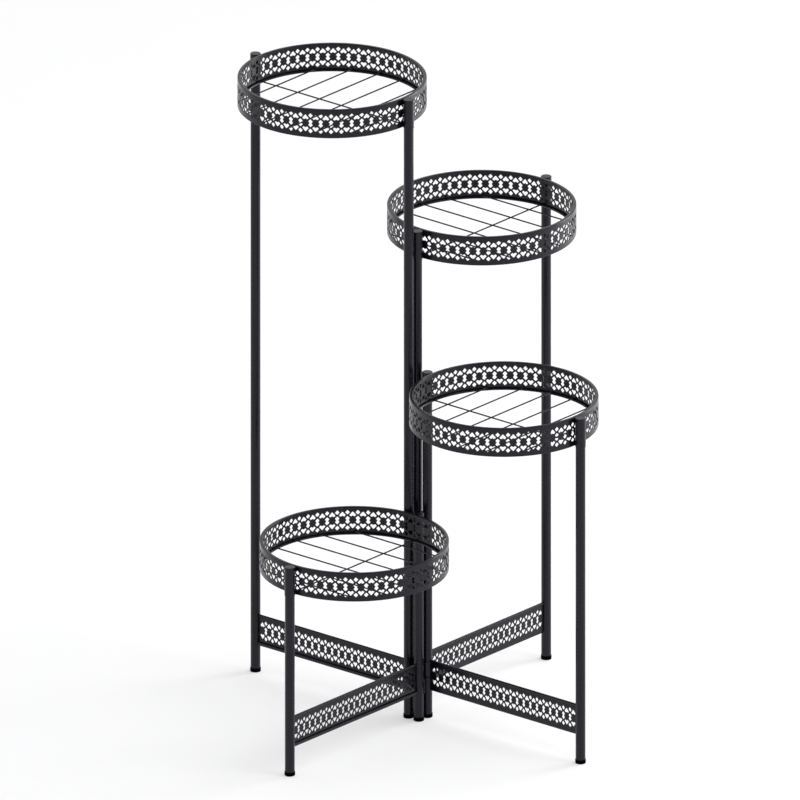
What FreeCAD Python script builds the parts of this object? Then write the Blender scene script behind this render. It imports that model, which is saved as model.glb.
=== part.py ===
import FreeCAD, Part
import math
import os
import Sketcher
from FreeCAD import Placement, Rotation, Vector

# Tiered plant stand, four flat sections hinged in a pinwheel round the centre.
# Millimetres, +Z up, origin on the floor in the middle of the four inner posts.
# In its own turned frame every section runs along +X: inner post, lattice
# panel, outer post, and a round tray between the two posts at the top.

doc = FreeCAD.newDocument("plant_stand")
sheet = doc.addObject("Spreadsheet::Sheet", "Sheet")

drivingSizes = {
    # tubes and the gap between neighbouring inner posts
    "tube_diameter": 12,
    "tube_wall": 1,
    "post_gap": 4,
    # heights of the four post tops above the floor, tallest section first
    "top_1": 800,
    "top_2": 625,
    "top_3": 446.5,
    "top_4": 269.5,
    # round tray: rolled strip with a curled rim, ring and grid underneath
    "tray_diameter": 229,
    "band_height": 36.6,
    "band_thickness": 1,
    "rim_curl": 3,
    "ring_wire": 3,
    "grid_wire": 1.8,
    "cross_wires": 6,
    "grid_pitch": 34.4,
    "grid_bite": 0.2,
    # sleeve that the tray is welded to, one on each post
    "sleeve_wall": 0.45,
    "weld_gap": 0.05,
    # closing disc on top of each post
    "cap_thickness": 2,
    "cap_bevel": 0.5,
    "plug_length": 10,
    # foot under each post
    "foot_diameter": 13,
    "foot_height": 5,
    "foot_rounding": 1,
    # lattice panel low down between the two posts of a section, with a bead
    # on its upper edge and its lower edge folded up into an open hem
    "panel_bottom": 35,
    "panel_height": 40,
    "panel_thickness": 1,
    "panel_bead": 3.2,
    "hem_gap": 1.2,
    "hem_height": 4.4,
    "panel_repeats": 22,
    "panel_pattern_width": 0.83,
    # punched pattern: diamonds and a figure of eight in one column,
    # two arrowheads in the next; heights are from the strip's middle
    "band_repeats": 57,
    "diamond_centre": 10,
    "diamond_half_height": 3.05,
    "diamond_half_width": 2.9,
    "eight_tip": 5.25,
    "eight_lobe": 2.3,
    "eight_waist": 1.1,
    "arrow_tip": 11.1,
    "arrow_shoulder": 6.4,
    "arrow_barb": 4.4,
    "arrow_notch": 5.8,
    "arrow_half_width": 4.2,
    "arrow_barb_half_width": 2.2,
    # double collar that ties two neighbouring inner posts and is their hinge
    "collar_height": 18,
    "collar_wall": 1.5,
    "collar_clearance": 0.06,
    "collar_margin": 28,
    "fold_angle": 90,
    "low_collar_1": 35,
    "low_collar_2": 55,
    "low_collar_3": 35,
    "high_collar_1": 164,
    "high_collar_2": 368,
    "high_collar_3": 186,
}
for row, (alias, value) in enumerate(drivingSizes.items(), start=1):
    sheet.set(f"A{row}", alias)
    sheet.set(f"B{row}", str(value))
    sheet.setAlias(f"B{row}", alias)
doc.recompute()

# sizes worked out from the driving ones, as formulas on the sheet
tubeRadius = "Sheet.tube_diameter / 2"
boreRadius = f"({tubeRadius} - Sheet.tube_wall)"
plugRadius = f"({boreRadius} - Sheet.weld_gap)"
sleeveBore = f"({tubeRadius} + Sheet.weld_gap)"
sleeveRadius = f"({sleeveBore} + Sheet.sleeve_wall)"
trayRadius = "Sheet.tray_diameter / 2"
postPitch = "(Sheet.tube_diameter + Sheet.post_gap)"
innerPost = f"({postPitch} / 2)"
postSpacing = f"(Sheet.tray_diameter + 2 * {sleeveRadius} + 2 * Sheet.weld_gap)"
outerPost = f"({innerPost} + {postSpacing})"
trayCentre = f"({innerPost} + {postSpacing} / 2)"
ringRadius = f"({trayRadius} - Sheet.band_thickness - Sheet.weld_gap - Sheet.ring_wire / 2)"
panelLength = f"({postSpacing} - Sheet.tube_diameter - 2 * Sheet.weld_gap)"
panelStart = f"({innerPost} + {tubeRadius} + Sheet.weld_gap)"
zero = "0"

# section number: turn of its frame about +Z, degrees
sectionTurn = {1: 180, 2: 90, 3: 0, 4: -90}
subparts = []


def size(formula):
    """Value of a sheet formula, as a plain number."""
    return float(sheet.evalExpression(formula.replace("Sheet.", "")))


def place(piece, turn, x, y, z):
    """Put a piece at x, y, z of a frame turned about +Z, each a formula."""
    worldX, worldY = {
        0: (x, y),
        90: (f"-({y})", x),
        180: (f"-({x})", f"-({y})"),
        -90: (y, f"-({x})"),
    }[turn]
    piece.Placement = Placement(Vector(), Rotation(Vector(0, 0, 1), turn))
    piece.setExpression("Placement.Base.x", worldX)
    piece.setExpression("Placement.Base.y", worldY)
    piece.setExpression("Placement.Base.z", z)
    subparts.append(piece)


def newBody(name):
    body = doc.addObject("PartDesign::Body", name)
    body.Label = name
    return body


def originPart(body, role):
    return next(part for part in body.Origin.OriginFeatures if part.Role == role)


def newSketch(body, plane, name):
    sketch = body.newObject("Sketcher::SketchObject", name)
    sketch.AttachmentSupport = [(originPart(body, plane), "")]
    sketch.MapMode = "FlatFace"
    return sketch


def addCircle(sketch, radius, x=zero):
    """Circle on the sketch's x axis, its radius and place held by formulas."""
    circle = Part.Circle(Vector(size(x), 0, 0), Vector(0, 0, 1), size(radius))
    index = sketch.addGeometry(circle, False)
    across = sketch.addConstraint(Sketcher.Constraint("DistanceX", -1, 1, index, 3, size(x)))
    sketch.setExpression(f"Constraints[{across}]", x)
    sketch.addConstraint(Sketcher.Constraint("PointOnObject", index, 3, -1))
    rim = sketch.addConstraint(Sketcher.Constraint("Radius", index, size(radius)))
    sketch.setExpression(f"Constraints[{rim}]", radius)


def addOutline(sketch, points):
    """Closed outline of straight lines through points."""
    corners = [Vector(x, y, 0) for x, y in points]
    for start, end in zip(corners, corners[1:] + corners[:1]):
        sketch.addGeometry(Part.LineSegment(start, end), False)


def pad(body, sketch, length):
    feature = body.newObject("PartDesign::Pad", "Pad")
    feature.Profile = sketch
    feature.setExpression("Length", length)


def cutUpwards(body, sketch, length):
    feature = body.newObject("PartDesign::Pocket", "Pocket")
    feature.Profile = sketch
    feature.Reversed = True
    feature.setExpression("Length", length)


def revolve(body, sketch):
    feature = body.newObject("PartDesign::Revolution", "Revolution")
    feature.Profile = sketch
    feature.ReferenceAxis = (originPart(body, "Z_Axis"), [""])
    feature.Angle = 360


def tube(name, length, outer, bore):
    """Round tube standing on its own origin."""
    body = newBody(name)
    section = newSketch(body, "XY_Plane", "TubeSection")
    addCircle(section, outer)
    addCircle(section, bore)
    pad(body, section, length)
    return body


def cap(name):
    """Top cap: a flat disc with a bevelled edge and a plug below it."""
    body = newBody(name)
    rim, plug = size(sleeveRadius), size(plugRadius)
    thickness, bevel = size("Sheet.cap_thickness"), size("Sheet.cap_bevel")
    depth = -size("Sheet.plug_length")
    profile = newSketch(body, "XZ_Plane", "CapProfile")
    addOutline(profile, [
        (0, thickness), (0, depth), (plug, depth), (plug, 0),
        (rim, 0), (rim, thickness - bevel), (rim - bevel, thickness),
    ])
    revolve(body, profile)
    return body


def foot(name):
    """Moulded foot: a rounded shoe under the tube and a plug inside it."""
    body = newBody(name)
    rim, plug = size("Sheet.foot_diameter / 2"), size(plugRadius)
    rounding, height = size("Sheet.foot_rounding"), size("Sheet.foot_height")
    top = height + size("Sheet.plug_length")
    profile = newSketch(body, "XZ_Plane", "FootProfile")
    corners = [
        (rim, rounding), (rim, height), (plug, height), (plug, top),
        (0, top), (0, 0), (rim - rounding, 0),
    ]
    for start, end in zip(corners, corners[1:]):
        profile.addGeometry(Part.LineSegment(Vector(*start, 0), Vector(*end, 0)), False)
    circle = Part.Circle(Vector(rim - rounding, rounding, 0), Vector(0, 0, 1), rounding)
    profile.addGeometry(Part.ArcOfCircle(circle, 3 * math.pi / 2, 2 * math.pi), False)
    revolve(body, profile)
    return body


def diamond(x, y, halfWidth, halfHeight):
    return [(x, y + halfHeight), (x + halfWidth, y), (x, y - halfHeight), (x - halfWidth, y)]


def eightHoles(squeeze):
    """Figure of eight and the diamonds above and below it, on x = 0."""
    half = sheet.diamond_half_width * squeeze
    waist = sheet.eight_waist * squeeze
    tip, lobe = sheet.eight_tip, sheet.eight_lobe
    eight = [
        (0, tip), (half, lobe), (waist, 0), (half, -lobe),
        (0, -tip), (-half, -lobe), (-waist, 0), (-half, lobe),
    ]
    centre, tall = sheet.diamond_centre, sheet.diamond_half_height
    return [eight, diamond(0, centre, half, tall), diamond(0, -centre, half, tall)]


def arrowHoles(squeeze):
    """Two arrowheads on x = 0, one pointing up and one pointing down."""
    half = sheet.arrow_half_width * squeeze
    barb = sheet.arrow_barb_half_width * squeeze
    tip, shoulder, low, notch = sheet.arrow_tip, sheet.arrow_shoulder, sheet.arrow_barb, sheet.arrow_notch
    upper = [(0, tip), (half, shoulder), (barb, low), (0, notch), (-barb, low), (-half, shoulder)]
    return [upper, [(x, -y) for x, y in upper]]


def closedWire(points):
    return Part.makePolygon(points + points[:1])


def punches(outlines, radius, height):
    """Punches that go well through the wall of a tray on its -X side."""
    reach = 3 * sheet.band_thickness
    blocks = []
    for outline in outlines:
        corners = [Vector(-radius - reach / 2, x, y + height) for x, y in outline]
        blocks.append(Part.Face(closedWire(corners)).extrude(Vector(reach, 0, 0)))
    return blocks


def bandShape():
    """Tray wall: a rolled strip, curled inwards at the rim, punched all round."""
    radius = size(trayRadius)
    curl = size("Sheet.rim_curl / 2")
    inner = radius - sheet.band_thickness
    height = sheet.band_height
    curlHeight = height - curl
    closing = 2 * math.pi - math.acos((inner - radius + curl) / curl)
    curled = Part.Arc(*[
        Vector(radius - curl + curl * math.cos(angle), 0, curlHeight + curl * math.sin(angle))
        for angle in (0, closing / 2, closing)
    ])
    meeting = Vector(inner, 0, curlHeight + curl * math.sin(closing))
    outline = [
        Part.LineSegment(Vector(radius, 0, 0), Vector(radius, 0, curlHeight)),
        curled,
        Part.LineSegment(meeting, Vector(inner, 0, 0)),
        Part.LineSegment(Vector(inner, 0, 0), Vector(radius, 0, 0)),
    ]
    profile = Part.Face(Part.Wire([side.toShape() for side in outline]))
    strip = profile.revolve(Vector(), Vector(0, 0, 1), 360)
    step = 360 / sheet.band_repeats
    column = punches(eightHoles(1), radius, height / 2)
    between = punches(arrowHoles(1), radius, height / 2)
    for punch in between:
        punch.rotate(Vector(), Vector(0, 0, 1), step / 2)
    tools = []
    for number in range(int(sheet.band_repeats)):
        for punch in column + between:
            turned = punch.copy()
            turned.rotate(Vector(), Vector(0, 0, 1), number * step)
            tools.append(turned)
    return strip.cut(tools)


def block(length, low, high):
    """Bar along +X between two corners given as (y, z)."""
    (left, bottom), (right, top) = low, high
    return Part.makeBox(length, right - left, top - bottom, Vector(0, left, bottom))


def hemShape(length):
    """Lower edge of the lattice panel, folded up on its +Y side."""
    side, thickness = -sheet.panel_thickness / 2, sheet.panel_thickness
    bend = size("Sheet.panel_thickness + Sheet.hem_gap / 2")
    centre = Vector(0, side + bend, bend)
    along = Vector(1, 0, 0)
    fold = Part.makeCylinder(bend, length, centre, along)
    hollow = Part.makeCylinder(bend - thickness, length, centre, along)
    above = block(length, (side, bend), (side + 2 * bend, 2 * bend))
    lip = block(length, (side + 2 * bend - thickness, bend), (side + 2 * bend, sheet.hem_height))
    return fold.cut([hollow, above]).fuse(lip)


def panelShape():
    """Punched strip along +X with a bead on its upper edge and a hem below."""
    length = size(panelLength)
    thickness = sheet.panel_thickness
    bead = size("Sheet.panel_bead / 2")
    bend = size("Sheet.panel_thickness + Sheet.hem_gap / 2")
    height = sheet.panel_height
    repeats = int(sheet.panel_repeats)
    step = length / repeats
    squeeze = sheet.panel_pattern_width
    holes = []
    for number in range(repeats):
        holes += [(outline, (number + 0.5) * step) for outline in arrowHoles(squeeze)]
    for number in range(1, repeats):
        holes += [(outline, number * step) for outline in eightHoles(squeeze)]
    side = -thickness / 2
    edge = [
        Vector(0, side, bend), Vector(length, side, bend),
        Vector(length, side, height - bead), Vector(0, side, height - bead),
    ]
    wires = [closedWire(edge)]
    for outline, across in holes:
        wires.append(closedWire([Vector(x + across, side, y + height / 2) for x, y in outline]))
    plate = Part.Face(wires, "Part::FaceMakerBullseye").extrude(Vector(0, thickness, 0))
    upperBead = Part.makeCylinder(bead, length, Vector(0, 0, height - bead), Vector(1, 0, 0))
    return plate.fuse([upperBead, hemShape(length)])


def shaped(name, shape):
    """Piece whose pattern needs too many holes for a sketch."""
    piece = doc.addObject("Part::Feature", name)
    piece.Label = name
    piece.Shape = shape
    return piece


def baseRing(name):
    """Wire ring inside the lower edge of the tray wall."""
    ring = doc.addObject("Part::Torus", name)
    ring.Label = name
    ring.setExpression("Radius1", ringRadius)
    ring.setExpression("Radius2", "Sheet.ring_wire / 2")
    return ring


def gridWire(name, turn, halfLength):
    wire = doc.addObject("Part::Cylinder", name)
    wire.setExpression("Radius", "Sheet.grid_wire / 2")
    wire.setExpression("Height", f"2 * {halfLength}")
    wire.Placement = Placement(Vector(), turn)
    return wire


def trayGrid(name):
    """Cross wires on the ring and one long wire welded under them."""
    crossHeight = "(Sheet.ring_wire + Sheet.grid_wire / 2)"
    wires = []
    for number in range(int(sheet.cross_wires)):
        offset = f"(({number} - (Sheet.cross_wires - 1) / 2) * Sheet.grid_pitch)"
        reach = f"sqrt({ringRadius} ^ 2 - {offset} ^ 2)"
        wire = gridWire(f"{name}_cross_{number + 1}", Rotation(Vector(1, 0, 0), -90), reach)
        wire.setExpression("Placement.Base.x", offset)
        wire.setExpression("Placement.Base.y", f"-{reach}")
        wire.setExpression("Placement.Base.z", crossHeight)
        wires.append(wire)
    longReach = f"({ringRadius} - Sheet.ring_wire / 2)"
    longWire = gridWire(f"{name}_long", Rotation(Vector(0, 1, 0), 90), longReach)
    longWire.setExpression("Placement.Base.x", f"-{longReach}")
    longWire.setExpression("Placement.Base.z", f"{crossHeight} - Sheet.grid_wire + Sheet.grid_bite")
    grid = doc.addObject("Part::MultiFuse", name)
    grid.Label = name
    grid.Shapes = wires + [longWire]
    return grid


def fan(centre, startAngle, endAngle, reach):
    """Outline that opens from centre and ends outside a circle of half its reach."""
    spokes = [math.radians(angle) for angle in (startAngle, (startAngle + endAngle) / 2, endAngle)]
    return [(centre, 0)] + [(centre + reach * math.cos(spoke), reach * math.sin(spoke)) for spoke in spokes]


def collar(name):
    """Two open collars joined back to back, one for each neighbouring post."""
    body = newBody(name)
    bore = f"({tubeRadius} + Sheet.collar_clearance)"
    outer = f"({bore} + Sheet.collar_wall)"
    centres = {"Fixed": zero, "Turning": postPitch}
    for label, centre in centres.items():
        outline = newSketch(body, "XY_Plane", f"{label}Collar")
        addCircle(outline, outer, centre)
        pad(body, outline, "Sheet.collar_height")
    start = size(tubeRadius)
    end = size(f"{postPitch} - {tubeRadius}")
    half = size(f"{tubeRadius} / 2")
    bridge = newSketch(body, "XY_Plane", "Bridge")
    addOutline(bridge, [(start, -half), (end, -half), (end, half), (start, half)])
    pad(body, bridge, "Sheet.collar_height")
    for label, centre in centres.items():
        hole = newSketch(body, "XY_Plane", f"{label}Bore")
        addCircle(hole, bore, centre)
        cutUpwards(body, hole, "Sheet.collar_height")
    quarter, margin = 90, sheet.collar_margin
    reach = 2 * size(outer)
    mouths = {
        "FixedMouth": fan(0, quarter - margin, quarter + margin, reach),
        "TurningMouth": fan(size(postPitch), -margin, sheet.fold_angle + margin, reach),
    }
    for label, outline in mouths.items():
        mouth = newSketch(body, "XY_Plane", label)
        addOutline(mouth, outline)
        cutUpwards(body, mouth, "Sheet.collar_height")
    return body


wallOfTray = bandShape()
lattice = panelShape()

for number, turn in sectionTurn.items():
    prefix = f"section_{number}"
    top = f"Sheet.top_{number}"
    bandBottom = f"({top} - Sheet.band_height)"
    tubeTop = f"({top} - Sheet.cap_thickness)"
    for side, x in {"inner": innerPost, "outer": outerPost}.items():
        postLength = f"{tubeTop} - Sheet.foot_height"
        post = tube(f"{prefix}_{side}_post", postLength, tubeRadius, boreRadius)
        place(post, turn, x, innerPost, "Sheet.foot_height")
        sleeveLength = "Sheet.band_height - Sheet.cap_thickness"
        sleeve = tube(f"{prefix}_{side}_sleeve", sleeveLength, sleeveRadius, sleeveBore)
        place(sleeve, turn, x, innerPost, bandBottom)
        place(cap(f"{prefix}_{side}_cap"), turn, x, innerPost, tubeTop)
        place(foot(f"{prefix}_{side}_foot"), turn, x, innerPost, zero)
    place(shaped(f"{prefix}_lattice_panel", lattice), turn, panelStart, innerPost, "Sheet.panel_bottom")
    place(shaped(f"{prefix}_tray_band", wallOfTray), turn, trayCentre, innerPost, bandBottom)
    ringHeight = f"{bandBottom} + Sheet.ring_wire / 2"
    place(baseRing(f"{prefix}_tray_ring"), turn, trayCentre, innerPost, ringHeight)
    place(trayGrid(f"{prefix}_tray_grid"), turn, trayCentre, innerPost, bandBottom)

# hinge 1 ties sections 1 and 2, hinge 2 sections 2 and 3, hinge 3 sections 3 and 4
for number in (1, 2, 3):
    turn = sectionTurn[number + 1]
    for level, height in {"lower": "low", "upper": "high"}.items():
        piece = collar(f"hinge_{number}_{level}_collar")
        place(piece, turn, f"-{innerPost}", innerPost, f"Sheet.{height}_collar_{number}")

doc.recompute()
for item in doc.Objects:
    if "Invalid" in item.State or "Error" in item.State:
        raise ValueError(f"{item.Label} did not build: {item.State}")
for piece in subparts:
    if piece.Shape.isNull() or not piece.Shape.isValid():
        raise ValueError(f"{piece.Label} has no valid shape")

os.makedirs("parts", exist_ok=True)
for piece in subparts:
    piece.Shape.exportStep(f"parts/{piece.Label}.step")
print(f"{len(subparts)} sub-parts written")
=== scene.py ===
import math
import bmesh
import bpy
from mathutils import Matrix, Vector
from mathutils.geometry import delaunay_2d_cdt


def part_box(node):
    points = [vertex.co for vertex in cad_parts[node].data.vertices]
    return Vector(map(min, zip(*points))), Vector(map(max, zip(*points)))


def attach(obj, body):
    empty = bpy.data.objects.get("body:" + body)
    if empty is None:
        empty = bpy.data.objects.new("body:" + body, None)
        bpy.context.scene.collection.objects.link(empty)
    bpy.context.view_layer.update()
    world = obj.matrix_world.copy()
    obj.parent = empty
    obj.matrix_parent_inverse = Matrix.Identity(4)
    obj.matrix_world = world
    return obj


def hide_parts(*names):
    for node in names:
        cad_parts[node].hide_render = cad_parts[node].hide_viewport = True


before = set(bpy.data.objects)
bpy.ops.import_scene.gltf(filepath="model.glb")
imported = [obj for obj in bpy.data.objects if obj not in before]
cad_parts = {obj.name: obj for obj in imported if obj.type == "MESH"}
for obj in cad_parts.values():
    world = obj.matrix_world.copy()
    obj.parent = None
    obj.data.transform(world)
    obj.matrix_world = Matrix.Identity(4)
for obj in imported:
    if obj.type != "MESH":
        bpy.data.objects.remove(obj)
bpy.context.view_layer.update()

# small helpers for node trees


def newMaterial(name):
    material = bpy.data.materials.new(name)
    material.use_nodes = True
    material.node_tree.nodes.clear()
    return material, material.node_tree


def addNode(tree, kind, **settings):
    node = tree.nodes.new(kind)
    for key, value in settings.items():
        if key in node.inputs:
            node.inputs[key].default_value = value
        else:
            setattr(node, key, value)
    return node


def addNoise(tree, place, size, detail, roughness=0.5):   # size is the spacing of the grain, in metres
    noise = addNode(tree, "ShaderNodeTexNoise", Scale=1 / size, Detail=detail, Roughness=roughness)
    tree.links.new(place.outputs["Object"], noise.inputs["Vector"])
    return noise


def addRange(tree, source, low, high, fromLow=0.3, fromHigh=0.7):   # spreads a grain over low..high
    spread = addNode(tree, "ShaderNodeMapRange")
    for key, value in {"From Min": fromLow, "From Max": fromHigh, "To Min": low, "To Max": high}.items():
        spread.inputs[key].default_value = value
    tree.links.new(source, spread.inputs["Value"])
    return spread.outputs["Result"]


# satin powder coat on every metal piece

powderCoat = {
    "dark": (0.0030, 0.0028, 0.0058, 1),  # charcoal, darkened by random mottle and by painted shade in the hollows of the grain
    "light": (0.0062, 0.0058, 0.0105, 1),  # charcoal, lightened by random mottle and by painted light on the tops of the grain
    "shine": 0.29,                        # how strongly the clear face of the coat mirrors
    "shineTint": (0.97, 0.95, 1.0, 1),    # and in which colour
    "mottle": 0.060,                      # spacing of the slow tone changes
    "mottleShare": 0.7,                   # how much of the tone they change
    "orangePeel": 0.0016,                 # spacing of the flow texture
    "fineGrain": 0.00045,                 # spacing of the powder grain
    # how much of the tone follows the grain's height: painted shade in its hollows, painted light on its
    # tops
    "paintedGrainShadingShare": 0.3,
    "grainRoughness": 0.7,
    "peelHeight": 0.00002,
    "grainHeight": 0.000012,
    "smoothest": 0.20,
    "roughest": 0.30,
}


def makePowderCoat(user):
    material, tree = newMaterial("satinPowderCoat")
    place = addNode(tree, "ShaderNodeTexCoord")
    shader = addNode(tree, "ShaderNodeBsdfPrincipled")
    shader.inputs["Specular IOR Level"].default_value = user["shine"]
    shader.inputs["Specular Tint"].default_value = user["shineTint"]
    output = addNode(tree, "ShaderNodeOutputMaterial")
    mottle = addNoise(tree, place, user["mottle"], 3)
    peel = addNoise(tree, place, user["orangePeel"], 2)
    grain = addNoise(tree, place, user["fineGrain"], 2, user["grainRoughness"])
    tone = addNode(tree, "ShaderNodeMix", data_type="RGBA")
    tone.inputs["A"].default_value = user["dark"]
    tone.inputs["B"].default_value = user["light"]
    slow = addRange(tree, mottle.outputs["Fac"], 0, user["mottleShare"])
    # the mottle is random tone; the grain's part is painted shade in the hollows and painted light on the
    # tops
    paintedGrainShading = addRange(tree, grain.outputs["Fac"], 0, user["paintedGrainShadingShare"])
    both = addNode(tree, "ShaderNodeMath", operation="ADD")
    tree.links.new(slow, both.inputs[0])
    tree.links.new(paintedGrainShading, both.inputs[1])
    tree.links.new(both.outputs[0], tone.inputs["Factor"])
    tree.links.new(tone.outputs["Result"], shader.inputs["Base Color"])
    gloss = addRange(tree, peel.outputs["Fac"], user["smoothest"], user["roughest"])
    tree.links.new(gloss, shader.inputs["Roughness"])
    flow = addNode(tree, "ShaderNodeBump", Strength=1, Distance=user["peelHeight"])
    tree.links.new(peel.outputs["Fac"], flow.inputs["Height"])
    powder = addNode(tree, "ShaderNodeBump", Strength=1, Distance=user["grainHeight"])
    tree.links.new(grain.outputs["Fac"], powder.inputs["Height"])
    tree.links.new(flow.outputs["Normal"], powder.inputs["Normal"])
    tree.links.new(powder.outputs["Normal"], shader.inputs["Normal"])
    tree.links.new(shader.outputs["BSDF"], output.inputs["Surface"])
    return material


# moulded black plastic on the feet

footPlastic = {
    # the tone follows the grain's height: painted shade in its pits (dark), painted light on its peaks
    # (light)
    "dark": (0.0004, 0.0004, 0.0004, 1),
    "light": (0.0010, 0.0010, 0.0011, 1),
    "shine": 0.015,
    "spark": 0.0006,                      # spacing of the spark-eroded grain
    "sparkRoughness": 0.6,
    "sparkHeight": 0.00003,
    "smoothest": 0.5,
    "roughest": 0.68,
}


def makeFootPlastic(user):
    material, tree = newMaterial("mouldedFootPlastic")
    place = addNode(tree, "ShaderNodeTexCoord")
    shader = addNode(tree, "ShaderNodeBsdfPrincipled")
    shader.inputs["Specular IOR Level"].default_value = user["shine"]
    output = addNode(tree, "ShaderNodeOutputMaterial")
    grain = addNoise(tree, place, user["spark"], 3, user["sparkRoughness"])
    tone = addNode(tree, "ShaderNodeMix", data_type="RGBA")
    tone.inputs["A"].default_value = user["dark"]
    tone.inputs["B"].default_value = user["light"]
    # painted shade in the grain's pits and painted light on its peaks
    tree.links.new(grain.outputs["Fac"], tone.inputs["Factor"])
    tree.links.new(tone.outputs["Result"], shader.inputs["Base Color"])
    gloss = addRange(tree, grain.outputs["Fac"], user["smoothest"], user["roughest"])
    tree.links.new(gloss, shader.inputs["Roughness"])
    bump = addNode(tree, "ShaderNodeBump", Strength=1, Distance=user["sparkHeight"])
    tree.links.new(grain.outputs["Fac"], bump.inputs["Height"])
    tree.links.new(bump.outputs["Normal"], shader.inputs["Normal"])
    tree.links.new(shader.outputs["BSDF"], output.inputs["Surface"])
    return material


coat = makePowderCoat(powderCoat)
plastic = makeFootPlastic(footPlastic)


def dress(thing, material):
    thing.data.materials.clear()
    thing.data.materials.append(material)


for name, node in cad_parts.items():
    dress(node, plastic if name.endswith("_foot") else coat)
print("finishes laid on the CAD nodes")

sectionTurn = {1: 180, 2: 90, 3: 0, 4: -90}   # which way each section runs from the middle, degrees

joining = {
    "weldDistance": 0.000002,             # corners nearer than this become one
    "sharpAngle": math.radians(38),       # edges bent more than this stay sharp
}


def finishPiece(name, mesh, number, material, *nodes):   # mesh becomes a smooth piece of a section
    bmesh.ops.remove_doubles(mesh, verts=mesh.verts, dist=joining["weldDistance"])
    bmesh.ops.recalc_face_normals(mesh, faces=mesh.faces)
    data = bpy.data.meshes.new(name)
    mesh.to_mesh(data)
    mesh.free()
    data.shade_smooth()
    data.set_sharp_from_angle(angle=joining["sharpAngle"])
    piece = bpy.data.objects.new(name, data)
    bpy.context.collection.objects.link(piece)
    dress(piece, material)
    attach(piece, f"section_{number}")
    if nodes:
        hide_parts(*nodes)
    return piece


# punched lattice, shared by trays and panels

lattice = {
    # holes of one repeat, in metres, up from the strip's middle; the arrows stand half a repeat away
    "diamond": [(0, 0.01305), (0.0029, 0.010), (0, 0.00695), (-0.0029, 0.010)],
    "eight": [(0, 0.00525), (0.0029, 0.0023), (0.0011, 0), (0.0029, -0.0023),
              (0, -0.00525), (-0.0029, -0.0023), (-0.0011, 0), (-0.0029, 0.0023)],
    "arrow": [(0, 0.0111), (0.0042, 0.0064), (0.0022, 0.0044),
              (0, 0.0058), (-0.0022, 0.0044), (-0.0042, 0.0064)],
    # line through the webs where one repeat joins the next, upper half
    "joint": [(0.0042, 0.0105), (0.00105, 0.0061), (0.0037, 0.0031)],
    "cornerRadius": 0.0006,
    "cornerShare": 0.4,                   # a corner's curve takes no more of its sides than this
    "cornerSteps": 3,
    "edgeBreak": 0.00015,                 # rounding of the punched edges
    "edgeSteps": 4,                       # points along a strip's edge in one repeat
    "thickness": 0.001,
    "fit": 1e-9,                          # points nearer than this count as one when a sheet is cut
}


def mirrored(points):
    return [(x, -y) for x, y in points]


def roundCorners(points):   # each corner becomes a small curve
    rounded = []
    steps = lattice["cornerSteps"]
    for index, point in enumerate(points):
        corner = Vector(point)
        before = Vector(points[index - 1]) - corner
        after = Vector(points[(index + 1) % len(points)]) - corner
        shorter = min(before.length * lattice["cornerShare"], after.length * lattice["cornerShare"])
        reach = min(lattice["cornerRadius"], shorter)
        start = corner + before.normalized() * reach
        end = corner + after.normalized() * reach
        for step in range(steps + 1):
            along = step / steps
            rounded.append(start * (1 - along) ** 2 + corner * 2 * along * (1 - along) + end * along ** 2)
    return rounded


def grow(points, distance):   # the outline moved outwards by distance
    following = points[1:] + points[:1]
    side = 1 if sum(a.x * b.y - b.x * a.y for a, b in zip(points, following)) > 0 else -1
    grown = []
    for index, point in enumerate(points):
        along = (following[index] - points[index - 1]).normalized()
        grown.append(point + Vector((along.y, -along.x)) * side * distance)
    return grown


def holesAt(name, across, squeeze):   # a hole, with its mirror image below unless it is the eight
    outlines = [lattice[name]] if name == "eight" else [lattice[name], mirrored(lattice[name])]
    return [roundCorners([(x * squeeze + across, y) for x, y in outline]) for outline in outlines]


def insideOutline(point, outline):
    inside = False
    for a, b in zip(outline, outline[1:] + outline[:1]):
        if (a.y > point.y) != (b.y > point.y):
            crossing = (b.x - a.x) * (point.y - a.y) / (b.y - a.y) + a.x
            if point.x < crossing:
                inside = not inside
    return inside


def cutSheet(border, holes):   # flat mesh inside border, round the holes
    rims = [grow(hole, lattice["edgeBreak"]) for hole in holes]
    points, loops = list(border), [list(range(len(border)))]
    for rim in rims:
        loops.append(list(range(len(points), len(points) + len(rim))))
        points += rim
    flat, _, faces, _, _, _ = delaunay_2d_cdt(points, [], loops, 0, lattice["fit"])
    spans = [(min(point.x for point in rim), max(point.x for point in rim), rim) for rim in rims]
    kept = []
    for face in faces:
        middle = sum((flat[corner] for corner in face), Vector((0, 0))) / len(face)
        near = [rim for low, high, rim in spans if low < middle.x < high]
        if insideOutline(middle, border) and not any(insideOutline(middle, rim) for rim in near):
            kept.append(face)
    return {"flat": flat, "faces": kept, "border": border, "rims": rims, "holes": holes}


def addPunched(mesh, sheet, bend):   # both skins of a punched sheet and the walls of its holes
    thickness, edge = lattice["thickness"], lattice["edgeBreak"]
    for depth in (0, thickness):
        corners = [mesh.verts.new(bend(point.x, point.y, depth)) for point in sheet["flat"]]
        for face in sheet["faces"]:
            mesh.faces.new([corners[index] for index in face])
    for rim, hole in zip(sheet["rims"], sheet["holes"]):
        rings = []
        for outline, depth in ((rim, 0), (hole, edge), (hole, thickness - edge), (rim, thickness)):
            rings.append([mesh.verts.new(bend(point.x, point.y, depth)) for point in outline])
        addBand(mesh, rings, True)


def addBand(mesh, rings, closed):   # faces between neighbouring rings of corners
    for ring, nextRing in zip(rings, rings[1:]):
        count = len(ring)
        for index in range(count if closed else count - 1):
            following = (index + 1) % count
            mesh.faces.new([ring[index], ring[following], nextRing[following], nextRing[index]])


# tray walls

trayWall = {
    "repeats": 57,
    "curlRadius": 0.0015,                 # half the height of the rim, which is rolled inwards
    "curlReach": 0.0022,                  # half its width
    "curlFlat": 0.45,                     # 1 leaves the roll round, less presses it flatter on top
    "curlSteps": 28,
    "lowerEdge": 0.0002,                  # rounding of the lower edge
}


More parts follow.
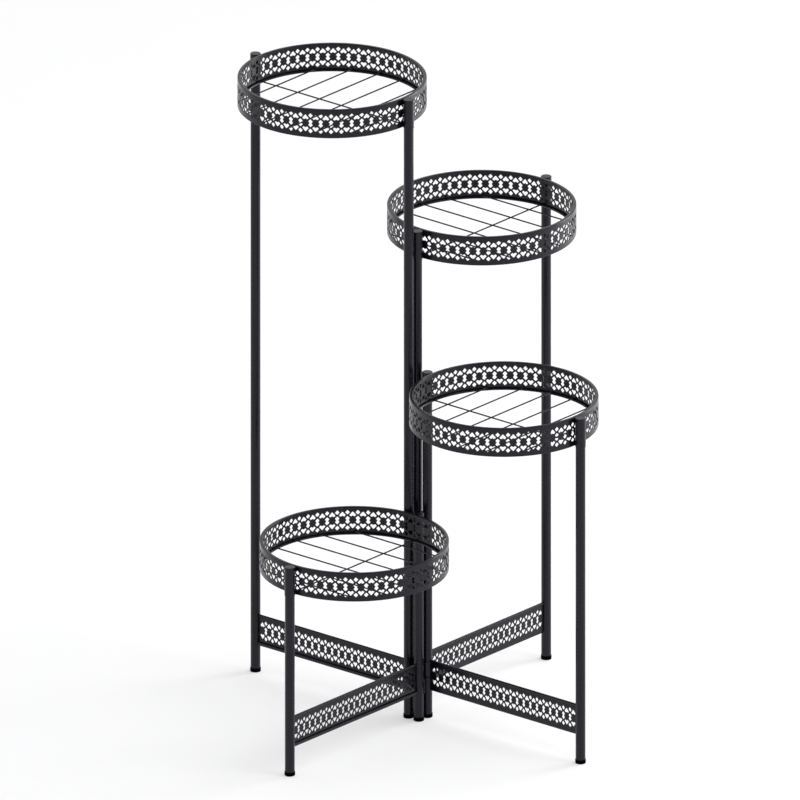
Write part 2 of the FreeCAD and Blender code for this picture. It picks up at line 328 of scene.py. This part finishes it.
def wallCell(width, low, high):   # one repeat of the wall, its sides running through the webs
    upper = lattice["joint"]
    steps = lattice["edgeSteps"]
    left = [(upper[0][0], high)] + upper + mirrored(upper)[::-1] + [(upper[0][0], low)]
    stations = [upper[0][0] + width * step / steps for step in range(1, steps)]
    right = [(x + width, y) for x, y in left[::-1]]
    border = left + [(x, low) for x in stations] + right + [(x, high) for x in stations[::-1]]
    holes = holesAt("diamond", width, 1) + holesAt("eight", width, 1) + holesAt("arrow", width / 2, 1)
    return cutSheet([Vector(point) for point in border], holes)


def makeTrayWall(number, user):
    node = f"section_{number}_tray_band"
    low, high = (Vector(corner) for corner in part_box(node))
    centre = (low + high) / 2
    radius = (high.x - low.x) / 2
    half = (high.z - low.z) / 2
    curl, reach = user["curlRadius"], user["curlReach"]
    edge, thickness = user["lowerEdge"], lattice["thickness"]
    curled = []
    closing = 2 * math.pi - math.acos((1 - thickness / reach) ** (1 / user["curlFlat"]))
    for step in range(user["curlSteps"] + 1):
        angle = closing * step / user["curlSteps"]
        across, above = (math.copysign(abs(part) ** user["curlFlat"], part)
                         for part in (math.cos(angle), math.sin(angle)))
        curled.append((reach - reach * across, half - curl + curl * above))
    meeting = curled[-1][1]
    curled.insert(0, (0, meeting))
    repeats = user["repeats"]
    width = 2 * math.pi * radius / repeats
    cell = wallCell(width, edge - half, meeting)
    begin = math.radians(sectionTurn[number] + 180)
    mesh = bmesh.new()

    def onRing(along, up, depth):
        angle = begin + along / radius
        return centre + Vector((math.cos(angle) * (radius - depth), math.sin(angle) * (radius - depth), up))

    for repeat in range(repeats):
        shift = repeat * width
        addPunched(mesh, cell, lambda along, up, depth: onRing(along + shift, up, depth))
    steps = repeats * lattice["edgeSteps"]
    stations = [lattice["joint"][0][0] + width * step / lattice["edgeSteps"] for step in range(steps)]
    lower = [(0, edge - half), (edge, -half), (thickness - edge, -half), (thickness, edge - half)]
    for outline in (curled, lower):
        rings = [[mesh.verts.new(onRing(along, up, depth)) for along in stations] for depth, up in outline]
        addBand(mesh, rings, True)
    return finishPiece(f"trayWall{number}", mesh, number, coat, node)


for number in sectionTurn:
    makeTrayWall(number, trayWall)
print("tray walls punched")

# lattice panels between the posts

panelStrip = {
    "repeats": 22,
    "squeeze": 0.83,                      # the holes are narrower here than on the trays
    "beadRadius": 0.0016,                 # round bead along the upper edge
    "beadSteps": 24,
    "hemRadius": 0.0016,                  # bend of the lower edge, which is folded up on one side
    "hemHeight": 0.0044,
    "hemSteps": 14,
    "endBreak": 0.0002,
}


def arcPoints(centre, radius, start, end, steps):   # points of an arc, angles in degrees
    points = []
    for step in range(steps + 1):
        angle = math.radians(start + (end - start) * step / steps)
        points.append((centre[0] + radius * math.cos(angle), centre[1] + radius * math.sin(angle)))
    return points


def hemOutline(user, half):   # the folded edge seen from its end, as (depth, up)
    bend, thickness, steps = user["hemRadius"], lattice["thickness"], user["hemSteps"]
    centre = (bend, bend - half)
    lip = (2 * bend - thickness / 2, user["hemHeight"] - half - thickness / 2)
    outer = arcPoints(centre, bend, 180, 360, steps)
    crown = arcPoints(lip, thickness / 2, 0, 180, steps)
    inner = arcPoints(centre, bend - thickness, 360, 180, steps)
    return outer + crown + inner


def makePanel(number, user, length, sheet):
    node = f"section_{number}_lattice_panel"
    low, high = (Vector(corner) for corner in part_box(node))
    centre = (low + high) / 2
    half = (high.z - low.z) / 2
    turn = Matrix.Rotation(math.radians(sectionTurn[number]), 3, "Z")
    radius, steps, soft = user["beadRadius"], user["beadSteps"], user["endBreak"]
    thickness = lattice["thickness"]
    lopsided = (2 * user["hemRadius"] - thickness / 2 - radius) / 2   # the hem reaches out past the bead
    mesh = bmesh.new()

    def onPanel(along, up, depth):
        return centre + turn @ Vector((along - length / 2, depth - thickness / 2 - lopsided, up))

    addPunched(mesh, sheet, onPanel)
    cutEdge = sheet["border"][1:] + sheet["border"][:1]   # both ends and the edge inside the bead
    walls = []
    for depth in (0, thickness):
        walls.append([mesh.verts.new(onPanel(point.x, point.y, depth)) for point in cutEdge])
    addBand(mesh, walls, False)
    rings = []
    stations = ((0, radius - soft), (soft, radius), (length - soft, radius), (length, radius - soft))
    for along, size in stations:
        outline = arcPoints((thickness / 2, half - radius), size, 0, 360, steps)[:-1]
        rings.append([mesh.verts.new(onPanel(along, up, depth)) for depth, up in outline])
    addBand(mesh, rings, True)
    mesh.faces.new(rings[0])
    mesh.faces.new(rings[-1])
    outline = hemOutline(user, half)
    hem = [[mesh.verts.new(onPanel(along, up, depth)) for depth, up in outline] for along in (0, length)]
    addBand(mesh, hem, False)
    mesh.faces.new(hem[0])
    mesh.faces.new(hem[1])
    return finishPiece(f"latticePanel{number}", mesh, number, coat, node)


def panelSheet(user, length, half):
    repeats, squeeze = user["repeats"], user["squeeze"]
    width = length / repeats
    holes = []
    for repeat in range(repeats):
        holes += holesAt("arrow", (repeat + 0.5) * width, squeeze)
        if repeat:
            holes += holesAt("diamond", repeat * width, squeeze) + holesAt("eight", repeat * width, squeeze)
    bottom, top = user["hemRadius"] - half, half - user["beadRadius"]
    border = [Vector(point) for point in ((0, bottom), (length, bottom), (length, top), (0, top))]
    return cutSheet(border, holes)


firstLow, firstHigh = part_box("section_1_lattice_panel")
panelLength = firstHigh[0] - firstLow[0]
stripSheet = panelSheet(panelStrip, panelLength, (firstHigh[2] - firstLow[2]) / 2)
for number in sectionTurn:
    makePanel(number, panelStrip, panelLength, stripSheet)
print("lattice panels punched")

# floor, camera and lamps

view = {
    "turn": math.radians(40.1),           # the camera stands this far round from the front
    "tilt": math.radians(21.0),           # and looks down by this much
    "metresPerPixel": 0.0012090,
    "imageSize": 800,
    "originPixel": (418.0, 716.8),        # where the middle of the feet falls in the image
    "distance": 4.0,
    "farthest": 20,
}


def makeCamera(user):
    turn, tilt = user["turn"], user["tilt"]
    right = Vector((math.cos(turn), math.sin(turn), 0))
    ahead = Vector((-math.sin(turn) * math.cos(tilt), math.cos(turn) * math.cos(tilt), -math.sin(tilt)))
    up = right.cross(ahead)
    scale = user["metresPerPixel"]
    middle = user["imageSize"] / 2
    originX, originY = user["originPixel"]
    target = right * (middle - originX) * scale + up * (originY - middle) * scale
    data = bpy.data.cameras.new("photoCamera")
    data.type = "ORTHO"
    data.ortho_scale = user["imageSize"] * scale
    data.clip_end = user["farthest"]
    camera = bpy.data.objects.new("photoCamera", data)
    bpy.context.collection.objects.link(camera)
    spin = Matrix((right, up, -ahead)).transposed().to_4x4()
    camera.matrix_world = Matrix.Translation(target - ahead * user["distance"]) @ spin
    bpy.context.scene.camera = camera
    return camera


studio = {
    "floorHalf": 6.0,
    "floorColour": (0.930, 0.932, 0.940, 1),
    "floorGlow": 0.40,                    # how much of the floor's whiteness the camera sees as plain white
    "roomWhite": (1.0, 1.0, 1.0, 1),
    "roomDark": (0.08, 0.08, 0.09, 1),    # the unlit part of the ceiling
    "darkTurn": math.radians(-50),        # which way the dark part lies, and how high
    "darkRise": math.radians(65),
    "darkEdge": (0.30, 0.70),             # cosine where white ends and where dark is full
}

lamps = {
    # name: (where it stands, what it looks at, width, height, watts)
    "backStrip": ((1.0, 2.4, 0.7), (0, 0, 0.4), 1.0, 1.6, 44),
    "rightSoftbox": ((2.4, 0.6, 1.6), (0, 0, 0.4), 1.0, 1.4, 14),
}

skylight = {
    "turn": math.radians(20),             # it comes from this far round, from high up
    "rise": math.radians(66),
    "spread": math.radians(80),
    "strength": 2.0,
}


def cameraSeesWhite(tree, shaderOutput, whiteness):   # partly plain white to camera, gloss and glass rays
    light = addNode(tree, "ShaderNodeLightPath")
    sight = light.outputs["Is Camera Ray"]
    for ray in ("Is Glossy Ray", "Is Transmission Ray"):
        either = addNode(tree, "ShaderNodeMath", operation="MAXIMUM")
        tree.links.new(sight, either.inputs[0])
        tree.links.new(light.outputs[ray], either.inputs[1])
        sight = either.outputs[0]
    share = addNode(tree, "ShaderNodeMath", operation="MULTIPLY")
    share.inputs[1].default_value = whiteness
    tree.links.new(sight, share.inputs[0])
    white = addNode(tree, "ShaderNodeEmission", Strength=1.0)
    white.inputs["Color"].default_value = (1, 1, 1, 1)
    blend = addNode(tree, "ShaderNodeMixShader")
    tree.links.new(share.outputs[0], blend.inputs[0])
    tree.links.new(shaderOutput, blend.inputs[1])
    tree.links.new(white.outputs[0], blend.inputs[2])
    return blend.outputs[0]


def makeFloor(user):
    half = user["floorHalf"]
    mesh = bpy.data.meshes.new("studioFloor")
    corners = [(-half, -half, 0), (half, -half, 0), (half, half, 0), (-half, half, 0)]
    mesh.from_pydata(corners, [], [(0, 1, 2, 3)])
    floor = bpy.data.objects.new("studioFloor", mesh)
    bpy.context.collection.objects.link(floor)
    material, tree = newMaterial("paleFloor")
    paper = addNode(tree, "ShaderNodeBsdfDiffuse")
    paper.inputs["Color"].default_value = user["floorColour"]
    output = addNode(tree, "ShaderNodeOutputMaterial")
    seen = cameraSeesWhite(tree, paper.outputs[0], user["floorGlow"])
    tree.links.new(seen, output.inputs["Surface"])
    mesh.materials.append(material)


def makeRoom(user):
    world = bpy.data.worlds.new("studioRoom")
    bpy.context.scene.world = world
    world.use_nodes = True
    tree = world.node_tree
    tree.nodes.clear()
    place = addNode(tree, "ShaderNodeTexCoord")
    turn, level = user["darkTurn"], math.cos(user["darkRise"])
    towards = addNode(tree, "ShaderNodeVectorMath", operation="DOT_PRODUCT")
    tree.links.new(place.outputs["Generated"], towards.inputs[0])
    darkest = (level * math.cos(turn), level * math.sin(turn), math.sin(user["darkRise"]))
    towards.inputs[1].default_value = darkest
    dark = addRange(tree, towards.outputs["Value"], 0, 1, *user["darkEdge"])
    sky = addNode(tree, "ShaderNodeMix", data_type="RGBA")
    sky.inputs["A"].default_value = user["roomWhite"]
    sky.inputs["B"].default_value = user["roomDark"]
    tree.links.new(dark, sky.inputs["Factor"])
    room = addNode(tree, "ShaderNodeBackground", Strength=1.0)
    tree.links.new(sky.outputs["Result"], room.inputs["Color"])
    output = addNode(tree, "ShaderNodeOutputWorld")
    tree.links.new(room.outputs[0], output.inputs["Surface"])


def makeSkylight(user):
    data = bpy.data.lights.new("skylight", "SUN")
    data.energy = user["strength"]
    data.angle = user["spread"]
    lamp = bpy.data.objects.new("skylight", data)
    bpy.context.collection.objects.link(lamp)
    level = math.cos(user["rise"])
    turn = user["turn"]
    source = Vector((level * math.cos(turn), level * math.sin(turn), math.sin(user["rise"])))
    lamp.rotation_euler = source.to_track_quat("Z", "Y").to_euler()
    lamp.visible_glossy = False           # a wide sky, not a lamp that the gloss mirrors


def makeLamps(user):
    for name, (stand, target, width, height, watts) in user.items():
        data = bpy.data.lights.new(name, "AREA")
        data.shape = "RECTANGLE"
        data.size = width
        data.size_y = height
        data.energy = watts
        lamp = bpy.data.objects.new(name, data)
        bpy.context.collection.objects.link(lamp)
        lamp.location = stand
        lamp.rotation_euler = (Vector(target) - Vector(stand)).to_track_quat("-Z", "Y").to_euler()


makeCamera(view)
makeFloor(studio)
makeRoom(studio)
makeLamps(lamps)
makeSkylight(skylight)
bpy.context.scene.view_settings.view_transform = "Standard"
print("studio ready")
